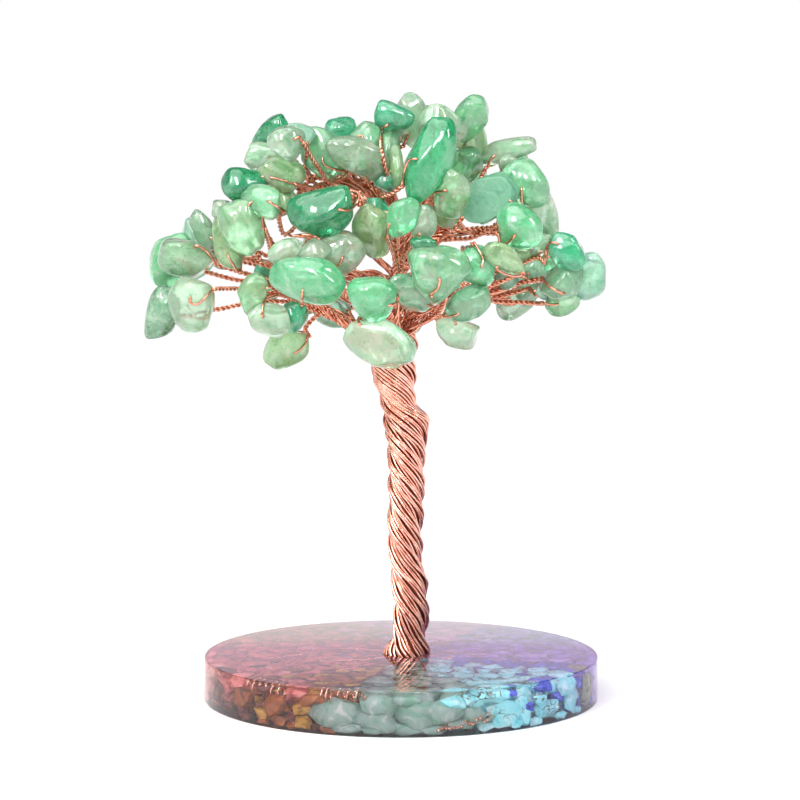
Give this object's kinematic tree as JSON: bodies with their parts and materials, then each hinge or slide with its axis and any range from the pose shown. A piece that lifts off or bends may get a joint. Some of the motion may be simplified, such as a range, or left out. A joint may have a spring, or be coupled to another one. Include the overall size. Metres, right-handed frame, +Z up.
{
  "type": "gemstone tree",
  "caption": "Ornamental tree: tumbled green stone chips on twigs of twisted copper wire, with one thick twisted trunk that stands in a clear resin disc.",
  "frame": {"origin": "centre of the flat underside of the resin disc", "axes": "+Z up along the trunk, -Y the display side, +X to the right seen from there"},
  "size_m": [0.0912, 0.08, 0.1219],
  "materials": {
    "clear_resin": "clear cast resin with stone chips sealed in it, polished",
    "copper_wire": "bright copper wire, drawn and twisted",
    "green_stone": "tumbled mint green aventurine, cloudy and glossy",
    "deep_green_stone": "tumbled deep green aventurine, flecked and glossy",
    "grey_green_stone": "tumbled grey green aventurine, cloudy and glossy"
  },
  "bodies": {
    "root": {"resin_base": "clear_resin", "wire_tree": "copper_wire", "chips_top_left_1": "green_stone", "chips_top_left_2": "green_stone", "chips_top_left_3": "grey_green_stone", "chips_top_left_4": "grey_green_stone", "chips_top_left_5": "green_stone", "chips_left_1": "green_stone", "chips_left_2": "grey_green_stone", "chips_left_3": "grey_green_stone", "chips_left_4": "green_stone", "chips_left_5": "green_stone", "chips_left_6": "deep_green_stone", "chips_left_7": "grey_green_stone", "chips_middle_1": "deep_green_stone", "chips_middle_2": "green_stone", "chips_middle_3": "grey_green_stone", "chips_middle_4": "green_stone", "chips_middle_5": "green_stone", "chips_middle_6": "green_stone", "chips_middle_7": "green_stone", "chips_middle_8": "green_stone", "chips_middle_9": "green_stone", "chips_top_1": "deep_green_stone", "chips_top_2": "deep_green_stone", "chips_top_3": "grey_green_stone", "chips_top_4": "green_stone", "chips_right_1": "grey_green_stone", "chips_right_2": "green_stone", "chips_right_3": "green_stone", "chips_right_4": "green_stone", "chips_right_5": "deep_green_stone", "chips_right_6": "grey_green_stone", "chips_right_7": "grey_green_stone", "chips_right_8": "grey_green_stone", "chips_under_1": "green_stone", "chips_under_2": "green_stone", "chips_under_3": "deep_green_stone", "chips_back_1": "green_stone", "chips_back_2": "green_stone", "chips_back_3": "green_stone", "chips_back_4": "deep_green_stone", "chips_back_5": "deep_green_stone", "chips_back_6": "green_stone", "chips_back_7": "green_stone", "chips_back_8": "green_stone", "chips_back_9": "green_stone", "chips_back_10": "deep_green_stone", "chips_back_11": "green_stone", "chips_back_12": "grey_green_stone", "chips_back_13": "green_stone", "chips_back_14": "deep_green_stone", "chips_back_15": "green_stone", "chips_back_16": "deep_green_stone", "chips_back_17": "green_stone", "chips_back_18": "grey_green_stone", "chips_back_19": "green_stone"}
  },
  "joints": []
}
